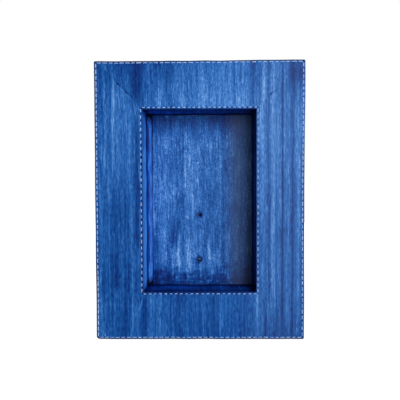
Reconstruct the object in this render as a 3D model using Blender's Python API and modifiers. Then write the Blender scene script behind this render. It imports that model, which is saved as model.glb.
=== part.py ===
"""Leather-covered shadow-box display frame, about 3 wide to 4 high.

X is the width, Y the depth with the face towards -Y, and Z the height. The frame stands on its bottom edge, and the
origin is at the middle of that edge's footprint. Everything is in metres.

The four sides of every layer are bars with one profile and 45 degree ends, so a profile is written once, as points
(inward, y): inward is the distance from the frame's outer outline towards the opening, and y is the depth.
"""

import math

import bmesh
import bpy
from mathutils import Matrix, Vector

# ---------------------------------------------------------------------------- driving dimensions
WIDTH = 0.210
HEIGHT = 0.280
DEPTH = 0.058
FACE_WIDTH = 0.048
RECESS_DEPTH = 0.040
GAP = 0.0003

LEATHER = 0.0015
LINING_LEATHER = 0.0012
FACE_BOARD = 0.009
SIDE_BOARD = 0.009
WALL_BOARD = 0.006
FLOOR_BOARD = 0.004
BACK_BOARD = 0.003
BACK_LINING = 0.001

# Saddle stitches: their distance from the leather's edge, the groove they lie in, and the thread itself.
STITCH_INSET = 0.0020
GROOVE_WIDTH = 0.0012
GROOVE_DEPTH = 0.0009
THREAD_WIDTH = 0.0006
THREAD_SINK = 0.0001
THREAD_HEIGHT = 0.0005

# The wall leather turns onto the recess floor. The floor leather lies on that flange and sits off to the right.
FLANGE_WIDTH = 0.010
FLOOR_LEATHER_LEFT = -0.0503
FLOOR_LEATHER_RIGHT = 0.0565
FLOOR_LEATHER_END_GAP = 0.0010

OPEN_HOLE_X = 0.0002
OPEN_HOLE_Z = 0.1241
OPEN_HOLE_RADIUS = 0.0022
OPEN_HOLE_BOARD_RADIUS = 0.0021
FLOOR_SCREW_X = -0.0008
FLOOR_SCREW_Z = 0.0753
FLOOR_SCREW_HOLE_RADIUS = 0.0034
FLOOR_SCREW_SINK = 0.0010
FLOOR_SCREW_LENGTH = 0.0068
PILOT_RADIUS = 0.0015

BLOCK_WIDTH = 0.024
BLOCK_HEIGHT = 0.060
BACK_SCREW_X = 0.0885
BACK_SCREW_INSET_Z = 0.0165
BACK_SCREW_LENGTH = 0.016
SHANK_RADIUS = 0.0015
SHANK_HOLE_RADIUS = 0.0018
HEAD_RADIUS = 0.0030
HEAD_HEIGHT = 0.0016

HANGER_X = 0.081
HANGER_AXIS_Z = 0.242
PLATE_WIDTH = 0.010
PLATE_THICKNESS = 0.0010
PLATE_DROP = 0.027
PLATE_CORNER = 0.0035
BARREL_RADIUS = 0.0026
BARREL_HOLE_RADIUS = 0.0016
HANGER_SCREW_DROP = 0.0215
HANGER_SCREW_LENGTH = 0.014
RING_WIRE_RADIUS = 0.0012
RING_HALF_WIDTH = 0.0092
RING_LEG = 0.0050
RING_CORNER = 0.0030

# ---------------------------------------------------------------------------- derived levels, front to back
FRONT = -DEPTH / 2
BACK = DEPTH / 2
FACE_LEATHER_BACK = FRONT + LEATHER
FACE_BOARD_FRONT = FACE_LEATHER_BACK + GAP
FACE_BOARD_BACK = FACE_BOARD_FRONT + FACE_BOARD
BOX_FRONT = FACE_BOARD_BACK + GAP
FLOOR_FRONT = FRONT + RECESS_DEPTH
FLOOR_LEATHER_BACK = FLOOR_FRONT + LEATHER
FLANGE_FRONT = FLOOR_LEATHER_BACK + GAP
FLANGE_BACK = FLANGE_FRONT + LINING_LEATHER
FLOOR_BOARD_FRONT = FLANGE_BACK + GAP
FLOOR_BOARD_BACK = FLOOR_BOARD_FRONT + FLOOR_BOARD
BACK_BOARD_FRONT = FLOOR_BOARD_BACK + GAP
BACK_BOARD_BACK = BACK_BOARD_FRONT + BACK_BOARD
LINING_FRONT = BACK_BOARD_BACK + GAP
LINING_BACK = LINING_FRONT + BACK_LINING
PLATE_FRONT = LINING_BACK + GAP
HANGER_AXIS_Y = PLATE_FRONT + BARREL_RADIUS

# Derived distances inward from the outer outline.
BOARD_OUTER = LEATHER + GAP
SIDE_BOARD_INNER = BOARD_OUTER + SIDE_BOARD
WALL_FACE = FACE_WIDTH
WALL_LEATHER_BACK = WALL_FACE - LINING_LEATHER
WALL_BOARD_INNER = WALL_LEATHER_BACK - GAP
WALL_BOARD_OUTER = WALL_BOARD_INNER - WALL_BOARD
INSIDE = SIDE_BOARD_INNER + GAP

ROUND_STEPS = 24
WELD = 0.000001
MITRE_GAP = GAP * math.sqrt(0.5)

# Each side: the middle of its outer edge on the face, its inward direction, its long direction, half its length.
SIDES = {
    "top": (Vector((0, 0, HEIGHT)), Vector((0, 0, -1)), Vector((1, 0, 0)), WIDTH / 2),
    "bottom": (Vector((0, 0, 0)), Vector((0, 0, 1)), Vector((1, 0, 0)), WIDTH / 2),
    "left": (Vector((-WIDTH / 2, 0, HEIGHT / 2)), Vector((1, 0, 0)), Vector((0, 0, 1)), HEIGHT / 2),
    "right": (Vector((WIDTH / 2, 0, HEIGHT / 2)), Vector((-1, 0, 0)), Vector((0, 0, 1)), HEIGHT / 2),
}

# Colour (linear), roughness and metallic value of each material.
FINISHES = {
    "blue_leather": ((0.030, 0.110, 0.380), 0.55, 0.0),
    "blue_lining_leather": ((0.016, 0.075, 0.330), 0.60, 0.0),
    "pine": ((0.560, 0.370, 0.190), 0.70, 0.0),
    "plywood": ((0.480, 0.330, 0.190), 0.75, 0.0),
    "hardboard": ((0.150, 0.085, 0.045), 0.80, 0.0),
    "back_suede": ((0.012, 0.018, 0.040), 0.90, 0.0),
    "cream_thread": ((0.760, 0.720, 0.620), 0.80, 0.0),
    "brass_screw": ((0.420, 0.280, 0.110), 0.45, 1.0),
    "nickel_steel": ((0.560, 0.550, 0.520), 0.32, 1.0),
}


def clear_scene():
    for obj in list(bpy.data.objects):
        bpy.data.objects.remove(obj, do_unlink=True)


def new_collection(name):
    collection = bpy.data.collections.new(name)
    bpy.context.scene.collection.children.link(collection)
    return collection


def make_materials():
    materials = {}
    for name, (colour, roughness, metallic) in FINISHES.items():
        material = bpy.data.materials.new(name)
        material.use_nodes = True
        shader = material.node_tree.nodes["Principled BSDF"]
        shader.inputs["Base Color"].default_value = (*colour, 1.0)
        shader.inputs["Roughness"].default_value = roughness
        shader.inputs["Metallic"].default_value = metallic
        materials[name] = material
    return materials


# ---------------------------------------------------------------------------- general shape helpers
def flat_outline(outlines, half_thickness):
    """A mesh of closed outlines in local XY, the later ones holes in the first, thick along local Z."""
    curve = bpy.data.curves.new("outline", "CURVE")
    curve.dimensions = "2D"
    curve.fill_mode = "BOTH"
    curve.extrude = half_thickness
    for outline in outlines:
        spline = curve.splines.new("POLY")
        spline.points.add(len(outline) - 1)
        for point, (x, y) in zip(spline.points, outline):
            point.co = (x, y, 0, 1)
        spline.use_cyclic_u = True
    guide = bpy.data.objects.new("outline", curve)
    bpy.context.scene.collection.objects.link(guide)
    depsgraph = bpy.context.evaluated_depsgraph_get()
    mesh = bpy.data.meshes.new_from_object(guide.evaluated_get(depsgraph))
    bpy.data.objects.remove(guide, do_unlink=True)
    weld(mesh)
    return mesh


def weld(mesh):
    bm = bmesh.new()
    bm.from_mesh(mesh)
    bmesh.ops.remove_doubles(bm, verts=bm.verts, dist=WELD)
    bmesh.ops.recalc_face_normals(bm, faces=bm.faces)
    bm.to_mesh(mesh)
    bm.free()


def add_part(name, mesh, material, location=(0, 0, 0), rotation=(0, 0, 0)):
    part = bpy.data.objects.new(name, mesh)
    part.location = location
    part.rotation_euler = rotation
    if not mesh.materials:
        mesh.materials.append(material)
    PARTS.objects.link(part)
    return part


def box_outline(x_low, x_high, y_low, y_high):
    return [(x_low, y_low), (x_high, y_low), (x_high, y_high), (x_low, y_high)]


def circle_outline(x, y, radius, steps=ROUND_STEPS):
    angles = [2 * math.pi * i / steps for i in range(steps)]
    return [(x + radius * math.cos(a), y + radius * math.sin(a)) for a in angles]


def inset_outline(inset):
    """The frame's outline moved inward, in X and Z."""
    return box_outline(inset - WIDTH / 2, WIDTH / 2 - inset, inset, HEIGHT - inset)


def facing_plate(name, outlines, y_front, y_back, material):
    """A flat sheet across the frame: its outlines are in X and Z, and its thickness lies along Y."""
    mesh = flat_outline(outlines, (y_back - y_front) / 2)
    return add_part(name, mesh, material, (0, (y_front + y_back) / 2, 0), (math.pi / 2, 0, 0))


def mitred_bar(name, side, profile, material):
    """One side of a layer: the profile swept along that side, its ends cut at 45 degrees."""
    edge_middle, inward, along, half_length = SIDES[side]
    mesh = flat_outline([profile], 1.0)
    for vertex in mesh.vertices:
        distance, depth, end = vertex.co
        reach = math.copysign(half_length - distance - MITRE_GAP, end)
        vertex.co = edge_middle + inward * distance + Vector((0, depth, 0)) + along * reach
    weld(mesh)
    return add_part(name, mesh, material)


def layer(prefix, profile, material):
    for side in SIDES:
        mitred_bar(f"{prefix}_{side}", side, profile, material)


def cylinder_mesh(name, radius, length):
    """A cylinder along local Z, from 0 to length."""
    mesh = bpy.data.meshes.new(name)
    bm = bmesh.new()
    shift = Matrix.Translation((0, 0, length / 2))
    bmesh.ops.create_cone(
        bm, cap_ends=True, segments=ROUND_STEPS, radius1=radius, radius2=radius, depth=length, matrix=shift
    )
    bm.to_mesh(mesh)
    bm.free()
    return mesh


def box_mesh(name, size):
    mesh = bpy.data.meshes.new(name)
    bm = bmesh.new()
    bmesh.ops.create_cube(bm, size=1.0, matrix=Matrix.Diagonal((*size, 1.0)))
    bm.to_mesh(mesh)
    bm.free()
    return mesh


def add_cutter(name, mesh, location, rotation=(0, 0, 0)):
    cutter = bpy.data.objects.new(name, mesh)
    cutter.location = location
    cutter.rotation_euler = rotation
    cutter.hide_render = True
    cutter.display_type = "WIRE"
    CUTTERS.objects.link(cutter)
    return cutter


def cut(part, cutter):
    modifier = part.modifiers.new(cutter.name, "BOOLEAN")
    modifier.operation = "DIFFERENCE"
    modifier.object = cutter


# ---------------------------------------------------------------------------- leather, boards and thread
def face_leather_profile():
    """A flat strip with one stitch groove near each long edge."""
    groove_floor = FRONT + GROOVE_DEPTH
    profile = [(0, FACE_LEATHER_BACK), (0, FRONT)]
    for centre in (STITCH_INSET, FACE_WIDTH - STITCH_INSET):
        near = centre - GROOVE_WIDTH / 2
        far = centre + GROOVE_WIDTH / 2
        profile += [(near, FRONT), (near, groove_floor), (far, groove_floor), (far, FRONT)]
    profile += [(FACE_WIDTH, FRONT), (FACE_WIDTH, FACE_LEATHER_BACK)]
    return profile


def side_leather_profile():
    """The outside strip, turned over the rear edge of the side board."""
    return [
        (0, FACE_BOARD_FRONT),
        (LEATHER, FACE_BOARD_FRONT),
        (LEATHER, BACK - LEATHER),
        (SIDE_BOARD_INNER, BACK - LEATHER),
        (SIDE_BOARD_INNER, BACK),
        (0, BACK),
    ]


def wall_leather_profile():
    """The recess lining, turned onto the recess floor."""
    return [
        (WALL_LEATHER_BACK, FACE_BOARD_FRONT),
        (WALL_FACE, FACE_BOARD_FRONT),
        (WALL_FACE, FLANGE_FRONT),
        (WALL_FACE + FLANGE_WIDTH, FLANGE_FRONT),
        (WALL_FACE + FLANGE_WIDTH, FLANGE_BACK),
        (WALL_LEATHER_BACK, FLANGE_BACK),
    ]


def make_leather(materials):
    layer("face_leather", face_leather_profile(), materials["blue_leather"])
    layer("side_leather", side_leather_profile(), materials["blue_leather"])
    layer("wall_leather", wall_leather_profile(), materials["blue_lining_leather"])
    low = FACE_WIDTH + FLOOR_LEATHER_END_GAP
    sheet = box_outline(FLOOR_LEATHER_LEFT, FLOOR_LEATHER_RIGHT, low, HEIGHT - low)
    open_hole = circle_outline(OPEN_HOLE_X, OPEN_HOLE_Z, OPEN_HOLE_RADIUS)
    screw_hole = circle_outline(FLOOR_SCREW_X, FLOOR_SCREW_Z, FLOOR_SCREW_HOLE_RADIUS)
    facing_plate(
        "floor_leather",
        [sheet, open_hole, screw_hole],
        FLOOR_FRONT,
        FLOOR_LEATHER_BACK,
        materials["blue_leather"],
    )


def make_thread(name, inset, materials):
    """A closed run of thread in its groove, its front just below the leather."""
    outer = inset_outline(inset - THREAD_WIDTH / 2)
    inner = inset_outline(inset + THREAD_WIDTH / 2)
    front = FRONT + THREAD_SINK
    facing_plate(name, [outer, inner], front, front + THREAD_HEIGHT, materials["cream_thread"])


def make_frame_boards(materials):
    pine = materials["pine"]
    layer("face_board", box_outline(BOARD_OUTER, WALL_BOARD_INNER, FACE_BOARD_FRONT, FACE_BOARD_BACK), pine)
    layer("side_board", box_outline(BOARD_OUTER, SIDE_BOARD_INNER, BOX_FRONT, BACK - LEATHER - GAP), pine)
    layer("wall_board", box_outline(WALL_BOARD_OUTER, WALL_BOARD_INNER, BOX_FRONT, FLOOR_BOARD_BACK), pine)


def back_screw_places():
    places = {}
    for vertical, z in (("t", HEIGHT - BACK_SCREW_INSET_Z), ("b", BACK_SCREW_INSET_Z)):
        for horizontal, x in (("l", -BACK_SCREW_X), ("r", BACK_SCREW_X)):
            places[vertical + horizontal] = (x, z)
    return places


def hanger_screw_places():
    z = HANGER_AXIS_Z - HANGER_SCREW_DROP
    return {"left": (-HANGER_X, z), "right": (HANGER_X, z)}


def make_sheets(materials):
    screw_centres = [*back_screw_places().values(), *hanger_screw_places().values()]
    shank_holes = [circle_outline(x, z, SHANK_HOLE_RADIUS) for x, z in screw_centres]
    floor_screw_hole = circle_outline(FLOOR_SCREW_X, FLOOR_SCREW_Z, PILOT_RADIUS)
    open_hole = circle_outline(OPEN_HOLE_X, OPEN_HOLE_Z, OPEN_HOLE_BOARD_RADIUS)
    facing_plate(
        "floor_board",
        [inset_outline(WALL_LEATHER_BACK), floor_screw_hole, open_hole],
        FLOOR_BOARD_FRONT,
        FLOOR_BOARD_BACK,
        materials["plywood"],
    )
    facing_plate(
        "back_board",
        [inset_outline(INSIDE), *shank_holes, floor_screw_hole],
        BACK_BOARD_FRONT,
        BACK_BOARD_BACK,
        materials["hardboard"],
    )
    facing_plate(
        "back_lining", [inset_outline(INSIDE), *shank_holes], LINING_FRONT, LINING_BACK, materials["back_suede"]
    )


def make_corner_blocks(materials):
    """Tall blocks in the four corners, with a blind hole for each screw that enters them."""
    screws = {corner: [(place, BACK_SCREW_LENGTH)] for corner, place in back_screw_places().items()}
    for side, corner in (("left", "tl"), ("right", "tr")):
        screws[corner].append((hanger_screw_places()[side], HANGER_SCREW_LENGTH + BACK_BOARD))
    length = FLOOR_BOARD_BACK - BOX_FRONT
    reach_x = WIDTH / 2 - INSIDE - BLOCK_WIDTH / 2
    reach_z = HEIGHT / 2 - INSIDE - BLOCK_HEIGHT / 2
    for corner, entries in screws.items():
        x = reach_x if corner[1] == "r" else -reach_x
        z = HEIGHT / 2 + (reach_z if corner[0] == "t" else -reach_z)
        mesh = box_mesh("corner_block", (BLOCK_WIDTH, length, BLOCK_HEIGHT))
        block = add_part(f"corner_block_{corner}", mesh, materials["pine"], (x, BOX_FRONT + length / 2, z))
        for index, ((hole_x, hole_z), hole_depth) in enumerate(entries):
            mouth = (hole_x, LINING_BACK, hole_z)
            hole = cylinder_mesh("hole", SHANK_HOLE_RADIUS, hole_depth + GAP)
            cut(block, add_cutter(f"hole_{corner}_{index}", hole, mouth, (math.pi / 2, 0, 0)))


# ---------------------------------------------------------------------------- screws and hangers
def turned_mesh(name, profile):
    """A closed turned shape about local Z. The profile runs down its outer side, from axis to axis."""
    mesh = bpy.data.meshes.new(name)
    edges = [(i, i + 1) for i in range(len(profile) - 1)]
    mesh.from_pydata([(radius, 0, height) for radius, height in profile], edges, [])
    guide = bpy.data.objects.new(name, mesh)
    CUTTERS.objects.link(guide)
    screw = guide.modifiers.new("turn", "SCREW")
    screw.steps = ROUND_STEPS
    screw.render_steps = ROUND_STEPS
    screw.use_merge_vertices = True
    screw.merge_threshold = WELD
    depsgraph = bpy.context.evaluated_depsgraph_get()
    turned = bpy.data.meshes.new_from_object(guide.evaluated_get(depsgraph))
    bpy.data.objects.remove(guide, do_unlink=True)
    weld(turned)
    turned.shade_smooth()
    turned.set_sharp_from_angle(angle=math.radians(35))
    return turned


def screw_profile(head_radius, head_height, shank_radius, shank_length):
    """A low domed head above local Z = 0 and a pointed shank below it."""
    dome_steps = 5
    rim_height = head_height * 0.35
    dome = head_height - rim_height
    profile = []
    for i in range(dome_steps + 1):
        angle = math.pi / 2 * i / dome_steps
        profile.append((head_radius * math.sin(angle), rim_height + dome * math.cos(angle)))
    tip = shank_radius * 1.6
    profile += [(head_radius, 0), (shank_radius, 0), (shank_radius, tip - shank_length), (0, -shank_length)]
    return profile


def slotted_screw(name, place, facing, head, shank, material):
    """A slotted screw whose head sits at a place: facing is +1 towards +Y and -1 towards -Y."""
    head_radius, head_height = head
    shank_radius, shank_length = shank
    mesh = turned_mesh(name, screw_profile(head_radius, head_height, shank_radius, shank_length))
    screw = add_part(name, mesh, material, place, (-facing * math.pi / 2, 0, 0))
    slot_depth = head_height * 0.45
    slot_centre = Vector(place) + Vector((0, facing * head_height, 0))
    slot = box_mesh("slot", (head_radius * 0.28, slot_depth * 2, head_radius * 3))
    cut(screw, add_cutter(f"slot_{name}", slot, slot_centre))


def make_screws(materials):
    head = (HEAD_RADIUS, HEAD_HEIGHT)
    seat = LINING_BACK + GAP
    for corner, (x, z) in back_screw_places().items():
        shank = (SHANK_RADIUS, BACK_SCREW_LENGTH)
        slotted_screw(f"back_screw_{corner}", (x, seat, z), 1, head, shank, materials["brass_screw"])
    seat = PLATE_FRONT + PLATE_THICKNESS + GAP
    for side, (x, z) in hanger_screw_places().items():
        shank = (SHANK_RADIUS, HANGER_SCREW_LENGTH)
        slotted_screw(f"hanger_screw_{side}", (x, seat, z), 1, head, shank, materials["brass_screw"])
    seat = FLOOR_BOARD_FRONT - GAP
    floor_head = (FLOOR_SCREW_HOLE_RADIUS - 2 * GAP, seat - FLOOR_FRONT - FLOOR_SCREW_SINK)
    shank = (PILOT_RADIUS - GAP, FLOOR_SCREW_LENGTH)
    slotted_screw(
        "floor_screw", (FLOOR_SCREW_X, seat, FLOOR_SCREW_Z), -1, floor_head, shank, materials["brass_screw"]
    )


def hanger_plate_outline():
    """A strap folded round the ring's bar: local X is depth and local Y height, with the bar's axis at the origin."""
    inner = -BARREL_RADIUS
    outer = PLATE_THICKNESS - BARREL_RADIUS
    fold_end = math.acos(outer / BARREL_RADIUS)
    outline = [(outer, -PLATE_DROP), (inner, -PLATE_DROP)]
    steps = 18
    sweep = 2 * math.pi - (math.pi - fold_end)
    for i in range(steps + 1):
        angle = math.pi - sweep * i / steps
        outline.append((BARREL_RADIUS * math.cos(angle), BARREL_RADIUS * math.sin(angle)))
    return outline


def round_plate_corners(mesh):
    """Rounds the two lower corners of the strap, whose width lies along local Z."""
    bm = bmesh.new()
    bm.from_mesh(mesh)
    corners = []
    for edge in bm.edges:
        ends = [vertex.co for vertex in edge.verts]
        at_foot = all(abs(co.y + PLATE_DROP) < WELD for co in ends)
        along_depth = abs(ends[0].z - ends[1].z) < WELD
        if at_foot and along_depth:
            corners.append(edge)
    bmesh.ops.bevel(bm, geom=corners, offset=PLATE_CORNER, segments=5, profile=0.5, affect="EDGES")
    bm.to_mesh(mesh)
    bm.free()


def ring_points():
    """The centre line of a D-ring: a straight bar on the axis, two legs and a half circle hanging down."""
    points = []
    corner_centre = RING_HALF_WIDTH - RING_CORNER
    for i in range(5):
        angle = math.radians(90 - 90 * i / 4)
        points.append((corner_centre + RING_CORNER * math.cos(angle), RING_CORNER * (math.sin(angle) - 1)))
    for i in range(17):
        angle = math.radians(180 * i / 16)
        points.append((RING_HALF_WIDTH * math.cos(angle), -RING_LEG - RING_HALF_WIDTH * math.sin(angle)))
    for i in range(5):
        angle = math.radians(180 - 90 * i / 4)
        points.append((-corner_centre + RING_CORNER * math.cos(angle), RING_CORNER * (math.sin(angle) - 1)))
    return points


def make_hangers(materials):
    steel = materials["nickel_steel"]
    for side, x in (("left", -HANGER_X), ("right", HANGER_X)):
        axis = (x, HANGER_AXIS_Y, HANGER_AXIS_Z)
        mesh = flat_outline([hanger_plate_outline(), circle_outline(0, 0, BARREL_HOLE_RADIUS)], PLATE_WIDTH / 2)
        round_plate_corners(mesh)
        # Local X to world Y and local Y to world Z, so the strap's width lies along world X.
        plate = add_part(f"hanger_plate_{side}", mesh, steel, axis, (math.pi / 2, 0, math.pi / 2))
        hole = cylinder_mesh("hole", SHANK_HOLE_RADIUS, 4 * PLATE_THICKNESS)
        mouth = (x, PLATE_FRONT + 2 * PLATE_THICKNESS, HANGER_AXIS_Z - HANGER_SCREW_DROP)
        cut(plate, add_cutter(f"hole_hanger_{side}", hole, mouth, (math.pi / 2, 0, 0)))

        curve = bpy.data.curves.new(f"hanger_ring_{side}", "CURVE")
        curve.dimensions = "3D"
        curve.bevel_depth = RING_WIRE_RADIUS
        curve.bevel_resolution = 2
        points = ring_points()
        spline = curve.splines.new("POLY")
        spline.points.add(len(points) - 1)
        for point, (px, pz) in zip(spline.points, points):
            point.co = (px, 0, pz, 1)
        spline.use_cyclic_u = True
        curve.materials.append(steel)
        ring = bpy.data.objects.new(f"hanger_ring_{side}", curve)
        ring.location = axis
        PARTS.objects.link(ring)


clear_scene()
PARTS = new_collection("shadow_box_frame")
CUTTERS = new_collection("cutters")
MATERIALS = make_materials()
make_leather(MATERIALS)
make_thread("outer_thread", STITCH_INSET, MATERIALS)
make_thread("inner_thread", FACE_WIDTH - STITCH_INSET, MATERIALS)
make_frame_boards(MATERIALS)
make_sheets(MATERIALS)
make_corner_blocks(MATERIALS)
make_screws(MATERIALS)
make_hangers(MATERIALS)
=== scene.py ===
"""The looks of a shadow-box display frame covered in hand-brushed blue leather.

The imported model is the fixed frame. Leather, thread, screws and hangers are rebuilt here at full
detail in the places that the frame gives. The wooden pieces inside keep their solids and get wood
materials.
"""

import math

import bmesh
import bpy
import numpy as np
from mathutils import Matrix, Vector


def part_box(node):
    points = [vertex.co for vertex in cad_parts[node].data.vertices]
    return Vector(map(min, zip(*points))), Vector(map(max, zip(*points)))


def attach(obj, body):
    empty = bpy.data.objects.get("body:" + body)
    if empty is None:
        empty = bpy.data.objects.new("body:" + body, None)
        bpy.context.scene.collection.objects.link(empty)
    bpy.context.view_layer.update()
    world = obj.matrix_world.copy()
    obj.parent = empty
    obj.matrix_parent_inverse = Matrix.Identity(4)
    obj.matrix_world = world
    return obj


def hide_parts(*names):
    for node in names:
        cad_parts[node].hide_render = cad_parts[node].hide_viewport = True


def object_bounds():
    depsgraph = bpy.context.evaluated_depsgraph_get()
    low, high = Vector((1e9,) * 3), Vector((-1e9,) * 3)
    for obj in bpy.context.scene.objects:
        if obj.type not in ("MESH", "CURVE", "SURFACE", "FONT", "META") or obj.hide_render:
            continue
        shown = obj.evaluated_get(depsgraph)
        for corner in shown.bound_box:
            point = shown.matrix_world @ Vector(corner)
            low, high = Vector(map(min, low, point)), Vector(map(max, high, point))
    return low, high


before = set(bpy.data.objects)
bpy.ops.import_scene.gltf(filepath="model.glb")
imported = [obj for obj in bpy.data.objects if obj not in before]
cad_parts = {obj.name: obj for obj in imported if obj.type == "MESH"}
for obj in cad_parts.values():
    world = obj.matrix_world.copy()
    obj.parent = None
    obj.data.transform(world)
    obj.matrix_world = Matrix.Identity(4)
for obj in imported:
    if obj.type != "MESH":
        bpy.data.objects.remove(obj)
CAD_LOW, CAD_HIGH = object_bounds()

MM = 0.001
RNG_SEED = 7

# ---- sizes taken from the frame
WIDTH = CAD_HIGH.x - CAD_LOW.x
HEIGHT = CAD_HIGH.z - CAD_LOW.z
FRONT = CAD_LOW.y
BACK = CAD_HIGH.y
FACE_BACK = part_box("face_leather_top")[1].y
FACE_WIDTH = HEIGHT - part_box("face_leather_top")[0].z
LEATHER = FACE_BACK - FRONT
WALL_BACK_INSET = WIDTH / 2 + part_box("wall_leather_left")[0].x
WALL_END = WIDTH / 2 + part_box("wall_leather_left")[1].x
FLANGE_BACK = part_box("wall_leather_left")[1].y
LINING = FACE_WIDTH - WALL_BACK_INSET
FLANGE_FRONT = FLANGE_BACK - LINING
RIM_WIDTH = WIDTH / 2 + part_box("side_leather_left")[1].x
FLOOR_LOW, FLOOR_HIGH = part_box("floor_leather")
# The solid thread is 0.6 mm wide, and the stitch line is its middle.
STITCH_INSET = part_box("outer_thread")[0].x - CAD_LOW.x + 0.3 * MM

# Each side in X and Z: middle of its outer edge, way inward, way along, half its length.
SIDES = {
    "top": ((0.0, HEIGHT), (0.0, -1.0), (1.0, 0.0), WIDTH / 2),
    "bottom": ((0.0, 0.0), (0.0, 1.0), (1.0, 0.0), WIDTH / 2),
    "left": ((-WIDTH / 2, HEIGHT / 2), (1.0, 0.0), (0.0, 1.0), HEIGHT / 2),
    "right": ((WIDTH / 2, HEIGHT / 2), (-1.0, 0.0), (0.0, 1.0), HEIGHT / 2),
}


def by_side(top, bottom, left, right):
    return {"top": top, "bottom": bottom, "left": left, "right": right}


# Radius of the frame's outline at each corner, by the signs of X and Z there.
CORNER_RADIUS = {(-1, 1): 1.4 * MM, (1, 1): 1.2 * MM, (-1, -1): 3.2 * MM, (1, -1): 1.6 * MM}

# Stitch lengths, hole to hole.
STITCH_PITCH = {
    "outer": by_side(5.8 * MM, 5.5 * MM, 5.8 * MM, 5.8 * MM),
    "inner": by_side(5.0 * MM, 5.4 * MM, 6.3 * MM, 6.0 * MM),
}
# How much of the thread's length shows between holes, and how blue the dye left it.
STITCH_SHOWN = {"outer": 0.84, "inner": 0.64}
STITCH_STAIN = {
    "outer": by_side(0.45, 0.70, 0.15, 0.40),
    "inner": by_side(0.45, 0.60, 0.35, 0.60),
}

# How dark the painted outer edge is, and how pale the cut inner rim is.
EDGE_PAINT = by_side(0.80, 1.00, 0.60, 0.35)
RIM_RAW = by_side(0.05, 0.05, 0.05, 0.10)

# How dark the stitch holes are painted: pooled dye, and painted shade in the holes.
HOLE_DYE_AND_SHADE = {
    "outer": by_side(0.00, 0.14, 0.04, 0.22),
    "inner": by_side(0.26, 0.26, 0.34, 0.12),
}

# Each row's distance from the outline. The inner row is sewn 0.4 mm nearer its edge than the solid's.
STITCH_LINES = {"outer": STITCH_INSET, "inner": FACE_WIDTH - STITCH_INSET + 0.4 * MM}


def smooth(value, start, end):
    """0 before start, 1 past end, eased between. It runs backwards when end is below start."""
    t = np.clip((value - start) / (end - start), 0, 1)
    return t * t * (3 - 2 * t)


def bump(value, centre, half_width):
    return np.exp(-(((value - centre) / half_width) ** 2))


def waves(a, b, size, seed):
    """Smooth random waves from -1 to 1 over two coordinates, about one size long."""
    rng = np.random.default_rng(seed)
    total = 0
    for _ in range(6):
        angle, phase = rng.uniform(0, 2 * math.pi, 2)
        stretch = rng.uniform(0.6, 1.7)
        path = a * math.cos(angle) + b * math.sin(angle)
        total = total + np.sin(path * 2 * math.pi * stretch / size + phase)
    return total / 3.2


# ---- camera, light and stage
CAMERA_PLACE = Vector((5.2 * MM, FRONT - 460 * MM, 153.1 * MM))
CAMERA_PITCH = math.radians(1.88)
CAMERA_YAW = math.radians(-0.68)
CAMERA_ROLL = math.radians(-0.22)
CAMERA_FIELD = math.radians(47.14)
CAMERA_SHIFT = (0.002, 0.008)
SENSOR_WIDTH = 36

# Each lamp's place, width and watts. They all point at the middle of the frame.
LAMPS = {
    "key_light": ((0.72, -1.37, 0.28), 1.15, 27),
    "front_light": ((0.0, -1.7, 0.30), 0.9, 3.5),
    "left_light": ((-1.3, 0.25, 0.7), 0.8, 5),
    "back_light": ((0.3, 1.6, 0.8), 1.0, 16),
}
STAGE_RADIUS = 1.6
STAGE_DROP = 0.3 * MM


def add_object(name, data):
    made = bpy.data.objects.new(name, data)
    bpy.context.scene.collection.objects.link(made)
    return made


def make_camera():
    camera = add_object("camera", bpy.data.cameras.new("camera"))
    turn = Matrix.Rotation(-CAMERA_YAW, 4, "Z")
    turn = turn @ Matrix.Rotation(math.pi / 2 - CAMERA_PITCH, 4, "X") @ Matrix.Rotation(CAMERA_ROLL, 4, "Z")
    camera.matrix_world = Matrix.Translation(CAMERA_PLACE) @ turn
    camera.data.sensor_width = SENSOR_WIDTH
    camera.data.lens = SENSOR_WIDTH / 2 / math.tan(CAMERA_FIELD / 2)
    camera.data.shift_x, camera.data.shift_y = CAMERA_SHIFT
    camera.data.clip_start = 0.01
    bpy.context.scene.camera = camera


def by_camera_ray(tree, unseen, seen):
    """Mixes the shader that lights the scene with the one that the camera sees."""
    rays = node(tree, "LightPath").outputs["Is Camera Ray"]
    return node(tree, "MixShader", {0: rays, 1: unseen.outputs[0], 2: seen.outputs[0]}).outputs[0]


def make_lights():
    middle = Vector((0, 0, HEIGHT / 2))
    for name, (spot, width, watts) in LAMPS.items():
        lamp = add_object(name, bpy.data.lights.new(name, "AREA"))
        lamp.location = spot
        lamp.rotation_euler = (middle - Vector(spot)).to_track_quat("-Z", "Y").to_euler()
        lamp.data.shape = "DISK"
        lamp.data.size = width
        lamp.data.energy = watts
    world = bpy.data.worlds.new("studio")
    world.use_nodes = True
    bpy.context.scene.world = world
    tree = world.node_tree
    tree.nodes.clear()
    dim = node(tree, "Background", {"Color": (0.9, 0.95, 1, 1), "Strength": 0.03})
    white = node(tree, "Background", {"Color": (1, 1, 1, 1)})
    node(tree, "OutputWorld", {"Surface": by_camera_ray(tree, dim, white)})
    bpy.context.scene.view_settings.view_transform = "Standard"


def make_floor():
    place_at = (0, 0, -STAGE_DROP)
    bpy.ops.mesh.primitive_circle_add(vertices=96, radius=STAGE_RADIUS, fill_type="NGON", location=place_at)
    floor = bpy.context.object
    floor.name = "floor"
    material, tree, shader = new_material("floor_white")
    connect(tree, shader, {"Base Color": (0.30, 0.30, 0.30, 1), "Roughness": 0.9})
    glow = node(tree, "Emission", {"Color": (1, 1, 1, 1), "Strength": 0.93})
    pale = node(tree, "BsdfDiffuse", {"Color": (0.35, 0.35, 0.35, 1)})
    seen = node(tree, "AddShader", {0: glow.outputs[0], 1: pale.outputs[0]})
    connect(tree, tree.nodes["Material Output"], {"Surface": by_camera_ray(tree, shader, seen)})
    put_on(floor, material)


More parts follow.
